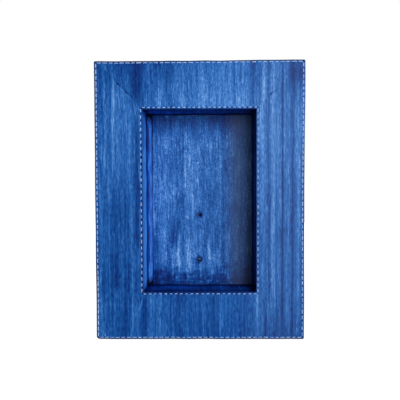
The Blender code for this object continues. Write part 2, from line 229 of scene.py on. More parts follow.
# ---- node helpers
def connect(tree, target, inputs):
    """Links each input to the socket given for it, or sets it to the value given."""
    for key, value in inputs.items():
        if isinstance(value, bpy.types.NodeSocket):
            tree.links.new(value, target.inputs[key])
        else:
            target.inputs[key].default_value = value


def node(tree, kind, inputs=None, **settings):
    made = tree.nodes.new("ShaderNode" + kind)
    for key, value in settings.items():
        setattr(made, key, value)
    connect(tree, made, inputs or {})
    return made


def maths(tree, operation, *values, clamp=False):
    inputs = dict(enumerate(values))
    return node(tree, "Math", inputs, operation=operation, use_clamp=clamp).outputs[0]


def new_material(name):
    material = bpy.data.materials.new(name)
    material.use_nodes = True
    return material, material.node_tree, material.node_tree.nodes["Principled BSDF"]


def ramp(tree, factor, stops):
    """A colour ramp. Each stop is a place and a colour or a grey."""
    made = node(tree, "ValToRGB", {"Fac": factor})
    elements = made.color_ramp.elements
    while len(elements) < len(stops):
        elements.new(0.5)
    for element, (place, colour) in zip(elements, stops):
        element.position = place
        colour = (colour,) * 3 if isinstance(colour, (int, float)) else colour
        element.color = (*colour, 1)
    return made.outputs["Color"]


def noise(tree, vector, scale, detail, roughness):
    inputs = {"Vector": vector, "Scale": scale, "Detail": detail, "Roughness": roughness}
    return node(tree, "TexNoise", inputs).outputs["Fac"]


def stretched(tree, scale=(1, 1, 1), offset=(0, 0, 0), coordinates=None):
    """Object coordinates in millimetres, squeezed by scale, so that noise in them runs in streaks."""
    coordinates = coordinates or node(tree, "TexCoord").outputs["Object"]
    inputs = {"Vector": coordinates, "Scale": tuple(s / MM for s in scale), "Location": offset}
    return node(tree, "Mapping", inputs).outputs[0]


def along_grain(grain, length, width):
    """The scale of noise that is so long along the grain and so wide across it, in millimetres."""
    return tuple(1 / length if g else 1 / width for g in grain)


def wandering(tree, grain, sway):
    """Object coordinates pushed to and fro across the grain, so that long streaks aren't ruler-straight."""
    push = noise(tree, stretched(tree, along_grain(grain, 34, 8), (5, 5, 5)), 1.0, 2.0, 0.6)
    push = maths(tree, "MULTIPLY_ADD", push, 2 * sway * MM, -sway * MM)
    across = {"X": 0.0 if grain[0] else push, "Y": 0.0, "Z": 0.0 if grain[2] else push}
    offset = node(tree, "CombineXYZ", across).outputs[0]
    coordinates = node(tree, "TexCoord").outputs["Object"]
    return node(tree, "VectorMath", {0: coordinates, 1: offset}, operation="ADD").outputs[0]


def mix(tree, factor, first, second, kind="MIX"):
    """Two colours mixed by factor. A colour is a socket or three linear values."""
    inputs = {0: factor, 6: first, 7: second}
    inputs = {key: (*value, 1) if isinstance(value, tuple) else value for key, value in inputs.items()}
    return node(tree, "Mix", inputs, data_type="RGBA", blend_type=kind).outputs[2]


def raised(tree, height, strength, distance):
    """The normal of a surface that height raises by up to distance."""
    inputs = {"Height": height, "Strength": strength, "Distance": distance}
    return node(tree, "Bump", inputs).outputs[0]


def attribute(tree, name):
    return node(tree, "Attribute", attribute_name=name).outputs["Fac"]


def screen(red, green, blue):
    """A colour as a screen shows it, 0 to 255, turned into the linear values that a shader takes (sRGB)."""
    values = (red / 255, green / 255, blue / 255)
    return tuple(v / 12.92 if v <= 0.04 else ((v + 0.055) / 1.055) ** 2.4 for v in values)


# ---- materials
DYE_RAMP = [
    (0.00, screen(0, 32, 96)),
    (0.22, screen(2, 52, 128)),
    (0.42, screen(14, 80, 157)),
    (0.60, screen(42, 107, 186)),
    (0.78, screen(82, 140, 213)),
    (1.00, screen(142, 186, 242)),
]
LINING_RAMP = [
    (0.00, screen(1, 10, 50)),
    (0.35, screen(4, 44, 128)),
    (0.65, screen(24, 100, 206)),
    (1.00, screen(84, 166, 255)),
]


# Layers of streaks: width and length in millimetres, strength, place in the noise, and detail.
STREAK_LAYERS = [
    (14.0, 500.0, 0.24, 3.1, 1.0),
    (4.2, 420.0, 0.34, 17.7, 1.0),
    (2.1, 130.0, 0.40, 41.3, 1.5),
    (1.3, 28.0, 0.38, 77.9, 1.0),
    (1.1, 5.0, 0.62, 95.5, 1.0),
]
# Thin lines, pale and dark: the same, with no detail.
HAIR_LINES = [(3.0, 30.0, 0.16, 113.0), (3.4, 44.0, -0.14, 151.0)]
PAINTED_EDGE = screen(20, 28, 58)
DULL_GREY_AND_SHEEN = screen(92, 108, 140)


def streaks(tree, grain, sway, length):
    """Brush streaks in layers of falling width, and thin hair lines, as one value about 0.

    grain marks the axes that the strokes run along, sway is how far they wander in millimetres, and
    length scales how long they are.
    """
    path = wandering(tree, grain, sway)

    def layer(width, reach, seed, detail):
        scale = along_grain(grain, reach * length, width)
        return noise(tree, stretched(tree, scale, (seed, seed, seed), path), 1.0, detail, 0.55)

    total = None
    for width, reach, strength, seed, detail in STREAK_LAYERS:
        part = maths(tree, "MULTIPLY_ADD", layer(width, reach, seed, detail), strength, -strength / 2)
        total = part if total is None else maths(tree, "ADD", total, part)
    for width, reach, strength, seed in HAIR_LINES:
        away = maths(tree, "ABSOLUTE", maths(tree, "SUBTRACT", layer(width, reach, seed, 1.0), 0.5))
        line = maths(tree, "MULTIPLY_ADD", away, -16.0, 1.0, clamp=True)
        patches = ramp(tree, layer(9.0, 40.0, seed + 9, 1.0), [(0.42, 0.0), (0.62, 1.0)])
        total = maths(tree, "MULTIPLY_ADD", maths(tree, "MULTIPLY", line, patches), strength, total)
    return total


def leather(name, grain, lightness=0.5, contrast=1.0, sway=1.0, length=1.0, gloss=0.10, stops=None):
    """Dyed leather with brush streaks along grain.

    The mesh gives the attributes dye_and_painted_light (brush dye with painted light and shade), grey (dull
    tone, and a painted sheen on face and floor), paint (the painted edge) and raw (a cut edge). Leather with
    stops of its own is a lining, evenly rough.
    """
    material, tree, shader = new_material(name)
    fibre = streaks(tree, grain, sway, length)
    blotch = noise(tree, stretched(tree, (1 / 50, 1 / 50, 1 / 70)), 1.0, 2.0, 0.5)
    level = maths(tree, "MULTIPLY_ADD", fibre, contrast, lightness)
    level = maths(tree, "ADD", level, attribute(tree, "dye_and_painted_light"))
    level = maths(tree, "MULTIPLY_ADD", blotch, 0.24, maths(tree, "SUBTRACT", level, 0.12))
    colour = ramp(tree, level, stops or DYE_RAMP)
    # Pores of the hide, where the dye settles.
    hide = stretched(tree, (1, 1, 0.6))
    pores = node(tree, "TexVoronoi", {"Vector": hide, "Scale": 1.9}).outputs["Distance"]
    pore_shade = ramp(tree, pores, [(0.0, 0.45), (0.22, 1.0)])
    colour = mix(tree, 0.45, colour, mix(tree, 1.0, colour, pore_shade, "MULTIPLY"))
    # A pull toward grey-blue: a dull tone on the wall flange, and a painted sheen on the face and the floor.
    colour = mix(tree, attribute(tree, "grey"), colour, DULL_GREY_AND_SHEEN)
    # Painted and raw edges.
    colour = mix(tree, attribute(tree, "paint"), colour, PAINTED_EDGE)
    fuzz = noise(tree, stretched(tree), 1.7, 3.0, 0.6)
    raw_colour = ramp(tree, fuzz, [(0.3, screen(60, 98, 160)), (0.7, screen(138, 164, 204))])
    colour = mix(tree, attribute(tree, "raw"), colour, raw_colour)
    rough = 0.55 if stops else maths(tree, "MULTIPLY_ADD", fibre, 0.16, 0.5, clamp=True)
    relief = maths(tree, "MULTIPLY_ADD", pores, 0.35, fibre)
    normal = raised(tree, relief, 0.35, 0.25 * MM)
    look = {"Base Color": colour, "Roughness": rough, "Specular IOR Level": gloss, "Normal": normal}
    connect(tree, shader, look)
    return material


def thread_material():
    material, tree, shader = new_material("waxed_thread")
    fibre = noise(tree, stretched(tree), 3.2, 3.0, 0.6)
    cream = ramp(tree, fibre, [(0.3, screen(150, 184, 234)), (0.7, screen(194, 216, 250))])
    dyed = ramp(tree, fibre, [(0.3, screen(78, 134, 212)), (0.7, screen(132, 186, 252))])
    colour = mix(tree, attribute(tree, "stain"), cream, dyed)
    normal = raised(tree, fibre, 0.4, 0.1 * MM)
    look = {"Base Color": colour, "Roughness": 0.62, "Specular IOR Level": 0.2, "Normal": normal}
    connect(tree, shader, look)
    return material


def wood(name, pale, dark, grain):
    """Bare wood with growth lines. grain marks the axis that the fibres run along."""
    material, tree, shader = new_material(name)
    lines = noise(tree, stretched(tree, along_grain(grain, 60, 5)), 1.0, 4.0, 0.55)
    pores = noise(tree, stretched(tree, along_grain(grain, 9, 0.5), (9, 9, 9)), 1.0, 2.0, 0.5)
    value = maths(tree, "MULTIPLY_ADD", pores, 0.35, maths(tree, "MULTIPLY", lines, 0.75))
    colour = ramp(tree, value, [(0.38, dark), (0.68, pale)])
    connect(tree, shader, {"Base Color": colour, "Roughness": 0.7})
    return material


def suede():
    material, tree, shader = new_material("navy_suede")
    nap = noise(tree, stretched(tree), 1.6, 4.0, 0.65)
    cloud = noise(tree, stretched(tree, (1 / 30, 1 / 30, 1 / 45)), 1.0, 2.0, 0.5)
    brushed = noise(tree, stretched(tree, (1 / 2.5, 1 / 2.5, 1 / 18), (7, 7, 7)), 1.0, 3.0, 0.6)
    value = maths(tree, "MULTIPLY_ADD", cloud, 0.25, maths(tree, "MULTIPLY", nap, 0.30))
    value = maths(tree, "MULTIPLY_ADD", brushed, 0.45, value)
    colour = ramp(tree, value, [(0.38, screen(14, 20, 42)), (0.62, screen(48, 60, 94))])
    normal = raised(tree, nap, 0.5, 0.2 * MM)
    connect(tree, shader, {"Base Color": colour, "Roughness": 0.92, "Sheen Weight": 0.35, "Normal": normal})
    return material


def metal(name, bright, dull, roughness):
    """Bare metal, tarnished in patches a few millimetres wide, with fine upright scratches."""
    material, tree, shader = new_material(name)
    tarnish = noise(tree, stretched(tree), 0.5, 4.0, 0.6)
    colour = ramp(tree, tarnish, [(0.35, dull), (0.62, bright)])
    rough = maths(tree, "MULTIPLY_ADD", tarnish, -0.3, roughness + 0.15)
    scratches = noise(tree, stretched(tree, (2, 2, 0.2)), 2.0, 2.0, 0.5)
    normal = raised(tree, scratches, 0.15, 0.05 * MM)
    connect(tree, shader, {"Base Color": colour, "Roughness": rough, "Metallic": 1.0, "Normal": normal})
    return material


# ---- mesh helpers
def put_on(piece, material):
    piece.data.materials.clear()
    piece.data.materials.append(material)


def finish_piece(piece, material, slot, *nodes, body="frame"):
    put_on(piece, material)
    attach(piece, body)
    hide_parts(*nodes)


def thicken(piece, thickness, offset):
    shell = piece.modifiers.new("thickness", "SOLIDIFY")
    shell.thickness = thickness
    shell.offset = offset


def set_attributes(mesh, attributes):
    for key, values in attributes.items():
        layer = mesh.attributes.new(key, "FLOAT", "POINT")
        layer.data.foreach_set("value", np.ravel(values).astype(np.float32))


def mesh_piece(name, points, faces, attributes=None, sharp_angle=50):
    """An object from points and faces, its faces turned outwards and its shading smooth."""
    mesh = bpy.data.meshes.new(name)
    mesh.from_pydata(np.asarray(points).reshape(-1, 3).tolist(), [], faces)
    set_attributes(mesh, attributes or {})
    bm = bmesh.new()
    bm.from_mesh(mesh)
    bmesh.ops.recalc_face_normals(bm, faces=bm.faces)
    bm.to_mesh(mesh)
    bm.free()
    mesh.shade_smooth()
    mesh.set_sharp_from_angle(angle=math.radians(sharp_angle))
    return add_object(name, mesh)


def grid_faces(rows, columns, round_rows=False, round_columns=False):
    """Faces of a grid of points. A round direction joins its last line of points to its first."""
    row_starts = np.arange(rows if round_rows else rows - 1)
    column_starts = np.arange(columns if round_columns else columns - 1)
    row, column = np.meshgrid(row_starts, column_starts, indexing="ij")
    corners = ((0, 0), (0, 1), (1, 1), (1, 0))
    faces = [((row + down) % rows) * columns + (column + on) % columns for down, on in corners]
    return np.stack(faces, axis=-1).reshape(-1, 4).tolist()


def swept_faces(rings, around):
    """Faces of a closed tube of so many rings, each with so many points round it, both ends capped."""
    caps = [list(range(around)), list(range((rings - 1) * around, rings * around))]
    return grid_faces(rings, around, round_columns=True) + caps


def spread(*stretches):
    """Positions along a line: each stretch is start, end and the wished spacing."""
    parts = []
    for start, end, spacing in stretches:
        count = max(2, int(round(abs(end - start) / spacing)) + 1)
        parts.append(np.linspace(start, end, count)[(1 if parts else 0):])
    return np.concatenate(parts)


def arc(centre, radius, start, end, steps):
    angles = np.radians(np.linspace(start, end, steps))
    return [(centre[0] + radius * math.cos(a), centre[1] + radius * math.sin(a)) for a in angles]


END_STEPS = np.array([0, 0.12, 0.25, 0.42, 0.65, 0.95, 1.3, 1.75, 2.3, 3.0]) * MM


def along_positions(low_reach, high_reach, spacing):
    """Positions along a mitred bar whose rows reach unlike far, close together near both ends."""
    last = END_STEPS[-1]
    low, high = low_reach[None, :], high_reach[None, :]
    count = int((low.max() + high.max() - 2 * last) / spacing)
    inner = np.linspace(0, 1, count + 1)[1:-1, None]
    start = -low + END_STEPS[:, None]
    middle = -low + last + (low + high - 2 * last) * inner
    return np.concatenate([start, middle, (high - END_STEPS[:, None])[::-1]])


def round_corners(x, z):
    """Rounds the outline: points in a corner's square move onto the arc that replaces it."""
    x, z = x.copy(), z.copy()
    for (sign_x, sign_z), radius in CORNER_RADIUS.items():
        centre_x = sign_x * (WIDTH / 2 - radius)
        centre_z = HEIGHT / 2 + sign_z * (HEIGHT / 2 - radius)
        dx = (x - centre_x) * sign_x
        dz = (z - centre_z) * sign_z
        inside = (dx > 0) & (dz > 0)
        length = np.hypot(dx, dz)
        scale = np.where(inside, np.maximum(dx, dz) / np.maximum(length, 1e-9), 1.0)
        x = np.where(inside, centre_x + sign_x * dx * scale, x)
        z = np.where(inside, centre_z + sign_z * dz * scale, z)
    return x, z


def flare(x, z):
    """The leather stands out round the outline, most at the top right, and is never quite straight."""
    from_edge = np.minimum(np.minimum(WIDTH / 2 - np.abs(x), z), HEIGHT - z)
    rim = smooth(from_edge, 16 * MM, 0)
    lift = 0.35 * MM * smooth(x, 10 * MM, 75 * MM) * smooth(HEIGHT - z, 16 * MM, 0)
    push = (0.3 + 0.5 * smooth(z, 180 * MM, 250 * MM)) * MM * smooth(WIDTH / 2 - x, 16 * MM, 0)
    wobble = 0.14 * MM * rim
    return x + push + wobble * waves(z, z, 60 * MM, 5), z + lift + wobble * waves(x, x, 60 * MM, 6)


def on_face(side, along, inward):
    """X and Z of positions on a side."""
    (x0, z0), (in_x, in_z), (on_x, on_z), _ = SIDES[side]
    return x0 + in_x * inward + on_x * along, z0 + in_z * inward + on_z * along


def place(side, along, inward, depth):
    """Points from positions on a side, with the outline's rounding and unevenness."""
    x, z = flare(*round_corners(*on_face(side, along, inward)))
    return np.stack([x, depth, z], axis=-1)


# ---- dye and painted light
# Everything about the dye and the painted light is in millimetres.
# Brush marks: place across, half width, strength, lowest and highest point.
FACE_MARKS = [
    # left stile
    (-94.5, 1.3, 0.16, 172, 262),
    (-86.5, 1.3, 0.18, 172, 262),
    (-84.3, 3.0, -0.22, 52, 150),
    (-76.0, 1.4, -0.14, -9, 60),
    (-68.0, 1.6, 0.13, -9, 66),
    (-99.5, 1.8, 0.08, -9, 240),
    (-96.6, 1.0, -0.10, -9, 240),
    (-62.4, 2.2, -0.26, 96, 226),
    (-58.0, 1.8, -0.22, -9, 50),
    # top rail, left to right
    (-85.0, 1.6, 0.15, 228, 258),
    (-79.0, 3.2, -0.24, 252, 289),
    (-62.0, 6.0, -0.27, 240, 289),
    (-40.0, 6.0, 0.06, 232, 258),
    (56.0, 5.0, -0.16, 230, 289),
    # right stile
    (64.0, 1.9, 0.17, -9, 289),
    (69.0, 1.5, -0.15, 40, 289),
    (74.0, 2.0, 0.17, 30, 289),
    (79.0, 1.5, 0.05, 30, 289),
    (83.3, 0.9, -0.27, 20, 289),
    (87.5, 1.6, 0.08, -9, 289),
    (93.2, 2.3, -0.20, -9, 289),
    (98.5, 1.5, 0.06, -9, 289),
    (66.0, 1.7, -0.20, -9, 40),
    # bottom rail
    (-55.0, 1.3, -0.15, -9, 52),
    (-41.0, 1.8, 0.15, -9, 48),
    (-30.0, 2.6, -0.08, -9, 48),
    (12.0, 6.0, -0.05, -9, 48),
    (58.0, 1.8, 0.16, -9, 46),
]
FLOOR_MARKS = [
    (-49.2, 0.9, 0.22, 96, 224),
    (-41.0, 6.5, 0.06, 104, 214),
    (-26.0, 4.0, -0.05, 130, 220),
    (-11.0, 3.0, 0.12, 110, 215),
    (-8.0, 1.2, 0.14, 118, 160),
    (4.0, 3.5, -0.08, 96, 200),
    (11.5, 1.2, 0.14, 196, 222),
    (19.0, 1.3, 0.14, 186, 216),
    (-39.0, 3.6, 0.16, 60, 108),
    (-27.5, 4.4, -0.40, 94, 120),
    (-23.5, 2.0, 0.32, 60, 101),
    (-30.5, 1.4, 0.16, 58, 92),
    (-11.5, 5.0, 0.20, 60, 104),
    (9.5, 1.3, 0.20, 70, 102),
    (14.6, 0.9, 0.30, 92, 110),
    (15.0, 0.9, 0.24, 72, 84),
    (-47.0, 4.0, -0.12, 40, 96),
    (-35.0, 3.0, -0.20, 40, 62),
]


def brush_marks(x, z, marks, seed):
    """Adds up brush marks, which wander a little and have bristly ends."""
    ends = z + 7 * waves(x, x, 4, seed)
    total = np.zeros_like(x)
    for index, (across, half_width, strength, low, high) in enumerate(marks):
        body = bump(x + 0.5 * waves(z, z, 90, seed + index), across, half_width)
        total += strength * body * smooth(ends, low - 8, low + 8) * smooth(ends, high + 8, high - 8)
    return total


def dye_and_painted_light(x, z):
    """How light the face is: brush marks, and lighter at the upper right and darker at the bottom left,
    which is partly dye and partly painted light from the upper right.
    """
    left = 0.02 * bump(z, 205, 45) - 0.14 * smooth(z, 240, 285) - 0.15 * smooth(z, 130, 20)
    right = 0.08 * bump(z, 215, 35) - 0.05 * smooth(z, 245, 285) - 0.13 * smooth(z, 60, 0)
    right = right - 0.11 * smooth(z, 180, 110)
    total = left + (right + 0.12 - left) * smooth(x, -40, 60)
    total += 0.08 * smooth(x, -38, -16) * smooth(x, 62, 46) * smooth(z, 226, 240)
    total += 0.10 * smooth(x, 30, -30) * smooth(z, 60, 30)
    total -= 0.38 * bump(x, 98, 9) * bump(z, 268, 17)
    # A pale curved crease runs down from the opening's bottom left corner.
    crease = x + 57 + 6 * np.clip((47 - z) / 20, 0, 2) ** 1.5
    total += 0.26 * bump(crease, 0, 0.7) * smooth(z, 26, 32) * smooth(z, 48, 45)
    return total + brush_marks(x, z, FACE_MARKS, 100)


def floor_dye_and_shade(x, z):
    """The floor's dye is mottled; it is dark along its ends, partly dye and partly painted shade from the
    top and bottom walls, darker to the right as painted shadow of the right wall, and lightest in the lower
    left.
    """
    top = smooth(z + 5 * waves(x, z, 24, 61), 200, 230)
    bottom = smooth(z + 5 * waves(x, z, 16, 62), 74, 52)
    total = 0.05 * waves(x, z * 0.6, 24, 63) + 0.05 * waves(x, z * 0.7, 7, 64)
    total += 0.14 * bottom * waves(x, z, 6, 65) - 0.32 * top - 0.36 * bottom - 0.07 * smooth(x, 5, 40)
    # Pale scuffs where the brush caught the ends of the sheet.
    scuffs = np.clip(waves(x, z, 9, 66) + 0.3, 0, 1) * smooth(x, 30, 15)
    total += 0.34 * scuffs * bump(z, 51.5 + 0.8 * waves(x, x, 30, 67), 0.9)
    total += 0.26 * scuffs * bump(z, 56.5 + 1.5 * waves(x, x, 18, 68), 1.1)
    total += 0.24 * scuffs * bump(z, 230.0 + 0.6 * waves(x, x, 26, 69), 1.0)
    return total + brush_marks(x, z, FLOOR_MARKS, 200)


# ---- leather pieces
SEAM_GAP = 0.02 * MM
SEAM_ROUND = 0.35 * MM
SEAM_SINK = 0.05 * MM
GROOVE_DEPTH = 0.22 * MM
HOLE_DEPTH = 0.45 * MM
HOLE_JITTER = 0.45 * MM

# The corner at the low and the high end of each side.
SIDE_CORNERS = {
    "top": ("top_left", "top_right"),
    "bottom": ("bottom_left", "bottom_right"),
    "left": ("bottom_left", "top_left"),
    "right": ("bottom_right", "top_right"),
}

# Where a mitre has lifted, in millimetres from the outline: start, end, how far the upright side's
# leather stands over the other, and the middles of the nicks where it has opened.
OPEN_SEAMS = {
    "top_left": (11.0, 38.0, 0.22, (23.0, 31.5)),
    "top_right": (30.0, 43.0, 0.08, (33.0,)),
    "bottom_left": (34.0, 47.0, 0.03, ()),
    "bottom_right": (38.0, 46.0, 0.00, ()),
}
NICK_DEPTH = 0.5 * MM


def seam_bow(corner, inward):
    """How far the top and bottom sides' ends fall short of a straight mitre. The top left one is bowed."""
    if corner != "top_left":
        return np.zeros_like(inward)
    return 2.4 * MM * bump(inward, 12 * MM, 7 * MM) + 0.9 * MM * bump(inward, 30 * MM, 9 * MM)


def seam_reach(side, corner, inward):
    """How far from its side's middle each row of points runs to meet the next side's leather."""
    half = SIDES[side][3]
    if side in ("top", "bottom"):
        return half - inward - seam_bow(corner, inward) - SEAM_GAP
    steps = np.linspace(-5 * MM, FACE_WIDTH + 5 * MM, 400)
    return half - np.interp(inward, steps + seam_bow(corner, steps), steps) - SEAM_GAP


def rounding(distance, radius):
    """How far a rounded edge falls, from 1 on the edge itself to 0 at radius from it."""
    fall = 1 - np.clip(distance / radius, 0, 1)
    return 1 - np.sqrt(np.clip(1 - fall**2, 0, 1))


def seam_shape(side, corner, inward, to_seam):
    """Depth, painted shade and highlight, and raw edge that a mitre gives the leather near it."""
    start, end, step, nicks = OPEN_SEAMS[corner]
    along_seam = inward + 1.5 * MM * waves(inward, inward, 9 * MM, len(corner))
    window = smooth(along_seam, start * MM, (start + 5) * MM) * smooth(along_seam, end * MM, (end - 4) * MM)
    nick = sum(bump(inward, middle * MM, 1.4 * MM) for middle in nicks) + np.zeros_like(inward)
    depth = SEAM_SINK * rounding(to_seam, SEAM_ROUND) + NICK_DEPTH * nick * smooth(to_seam, 0.9 * MM, 0)
    near = smooth(to_seam, 3.0 * MM, 0) * window
    upright = side in ("left", "right")
    depth = depth + (-step if upright else step) * MM * near
    lifted = window * step / 0.22
    raw = 0.12 * lifted * smooth(to_seam, 0.8 * MM, 0.1 * MM) * (1 if upright else 0)
    # Painted shade in the opened nicks, a painted highlight on the proud upright edge and a painted shadow
    # beside it on the other side.
    shade = -0.34 * nick * smooth(to_seam, 1.3 * MM, 0.3 * MM)
    if upright:
        shade = shade + 0.09 * lifted * bump(to_seam, 1.1 * MM, 0.9 * MM)
    else:
        shade = shade - 0.05 * lifted * smooth(to_seam, 4.5 * MM, 0.5 * MM)
    return depth, shade, raw


def stitch_holes(row, side):
    """Where a side's stitch holes are, marked by hand and so uneven."""
    half = SIDES[side][3] - STITCH_LINES[row]
    count = round(2 * half / STITCH_PITCH[row][side])
    holes = np.linspace(-half, half, count + 1)
    rng = np.random.default_rng([RNG_SEED, list(SIDES).index(side), list(STITCH_LINES).index(row)])
    holes[1:-1] += rng.uniform(-HOLE_JITTER, HOLE_JITTER, count - 1)
    return holes


def stitch_dip(side, along, inward):
    """How far the face sinks at the stitch grooves and holes, and how dark the holes are painted for pooled
    dye and shade.
    """
    sink = np.zeros_like(along)
    holes_near = np.zeros_like(along)
    for row, line in STITCH_LINES.items():
        holes = stitch_holes(row, side)
        count = np.interp(along, holes, np.arange(len(holes)))
        to_hole = (count - np.round(count)) * STITCH_PITCH[row][side]
        hole = bump(to_hole, 0, 0.62 * MM) * bump(inward, line, 0.48 * MM)
        sink += GROOVE_DEPTH * bump(inward, line, 0.75 * MM) + HOLE_DEPTH * hole
        holes_near += HOLE_DYE_AND_SHADE[row][side] * bump(to_hole, 0, 0.9 * MM) * bump(inward, line, 0.7 * MM)
    return sink, holes_near


def face_rail(side, material):
    outer_round, inner_round = 0.75 * MM, 0.55 * MM
    outer_arc = arc((outer_round, FRONT + outer_round), outer_round, 180, 270, 6)
    inner_arc = arc((FACE_WIDTH - inner_round, FRONT + inner_round), inner_round, 270, 360, 6)
    # Points lie close together near the stitch lines.
    band, fine, coarse = 4.4 * MM, 0.27 * MM, 0.62 * MM
    stretches = (outer_round, band, fine), (band, FACE_WIDTH - band, coarse)
    flat = spread(*stretches, (FACE_WIDTH - band, FACE_WIDTH - inner_round, fine))[1:-1]
    profile = outer_arc + [(d, FRONT) for d in flat] + inner_arc + [(FACE_WIDTH, FACE_BACK), (0, FACE_BACK)]
    row_inward, row_depth = np.array(profile).T
    low_corner, high_corner = SIDE_CORNERS[side]
    low, high = (seam_reach(side, corner, row_inward) for corner in (low_corner, high_corner))
    along = along_positions(low, high, 0.45 * MM)
    inward = np.broadcast_to(row_inward, along.shape)
    depth = np.broadcast_to(row_depth, along.shape).copy()
    facing = smooth(depth, FRONT + 0.5 * MM, FRONT + 0.05 * MM)
    x, z = on_face(side, along, inward)
    shade = dye_and_painted_light(x / MM, z / MM)
    raw = np.zeros_like(along)
    for corner, to_seam in ((low_corner, along + low), (high_corner, high - along)):
        seam_depth, seam_painted_light, seam_raw = seam_shape(side, corner, inward, to_seam * math.sqrt(0.5))
        depth += facing * seam_depth
        shade += seam_painted_light
        raw = np.maximum(raw, seam_raw)
    sink, holes_near = stitch_dip(side, along, inward)
    hollow = 0.10 * MM * waves(x, z, 38 * MM, 11) + 0.05 * MM * waves(x, z, 12 * MM, 12)
    depth += facing * (sink + hollow)
    shade -= holes_near + 0.32 * smooth(inward, FACE_WIDTH - 1.5 * MM, FACE_WIDTH - 0.9 * MM)
    points = place(side, along, inward, depth)
    rough = 0.25 * MM * waves(along, inward, 5 * MM, 21)
    paint = EDGE_PAINT[side] * smooth(inward + rough, 1.45 * MM, 0.85 * MM)
    rim = RIM_RAW[side] * smooth(inward + rough, FACE_WIDTH - 1.0 * MM, FACE_WIDTH - 0.4 * MM)
    # Greyer toward the right: painted sheen where the light from the right glances off the face.
    grey = 0.13 * smooth(x, 30 * MM, 75 * MM)
    attributes = {"dye_and_painted_light": shade, "grey": grey, "paint": paint, "raw": np.maximum(raw, rim)}
    piece = mesh_piece(f"face_rail_{side}", points, swept_faces(*along.shape), attributes)
    finish_piece(piece, material, "blue_leather", f"face_leather_{side}")


def mitred(side, profile, spacing):
    """A profile swept along a side between straight mitres: along, inward and depth of every point."""
    inward, depth = np.array(profile).T
    reach = SIDES[side][3] - inward - SEAM_GAP
    along = along_positions(reach, reach, spacing)
    return along, np.broadcast_to(inward, along.shape), np.broadcast_to(depth, along.shape)


def side_strip(side, material):
    edge_round, rim_round, end_round = 0.4 * MM, 1.6 * MM, 0.4 * MM
    front = FACE_BACK + 0.05 * MM
    profile = arc((edge_round, front + edge_round), edge_round, 270, 180, 4)
    profile += [(0, y) for y in spread((front + edge_round, BACK - rim_round, 1.8 * MM))[1:-1]]
    profile += arc((rim_round, BACK - rim_round), rim_round, 180, 90, 8)
    profile += [(d, BACK) for d in spread((rim_round, RIM_WIDTH - end_round, 1.2 * MM))[1:-1]]
    profile += arc((RIM_WIDTH - end_round, BACK - end_round), end_round, 90, 0, 4)
    profile += [(RIM_WIDTH, BACK - LEATHER), (LEATHER, BACK - LEATHER), (LEATHER, front)]
    along, inward, depth = mitred(side, profile, 1.8 * MM)
    outside = smooth(inward, LEATHER * 0.6, 0)
    swell = 0.12 * MM * waves(along, depth, 45 * MM, 31) * outside
    points = place(side, along, inward + swell, depth)
    to_seam = (SIDES[side][3] - inward - np.abs(along)) * math.sqrt(0.5)
    shade = 0.10 * waves(along, depth, 70 * MM, 33) - 0.12 * smooth(to_seam, 3 * MM, 0)
    rough = 0.3 * MM * waves(along, depth, 6 * MM, 34)
    paint = smooth(depth + rough, front + 0.5 * MM, front)
    paint = np.maximum(paint, smooth(inward + rough, RIM_WIDTH - 0.6 * MM, RIM_WIDTH - 0.1 * MM))
    attributes = {"dye_and_painted_light": shade, "paint": paint}
    piece = mesh_piece(f"side_strip_{side}", points, swept_faces(*along.shape), attributes)
    finish_piece(piece, material, "blue_leather", f"side_leather_{side}")


# How dark the fold of each wall strip is painted: pooled dye and painted shade in the crease.
FOLD_DYE_AND_SHADE = by_side(0.40, 0.25, 0.56, 0.56)
# How dark and how grey a wall strip's flange is, and how much painted shade darkens its upper end.
LEFT_FLANGE = (0.26, 0.10, 0.18)
OTHER_FLANGES = (0.15, 0.0, 0.0)


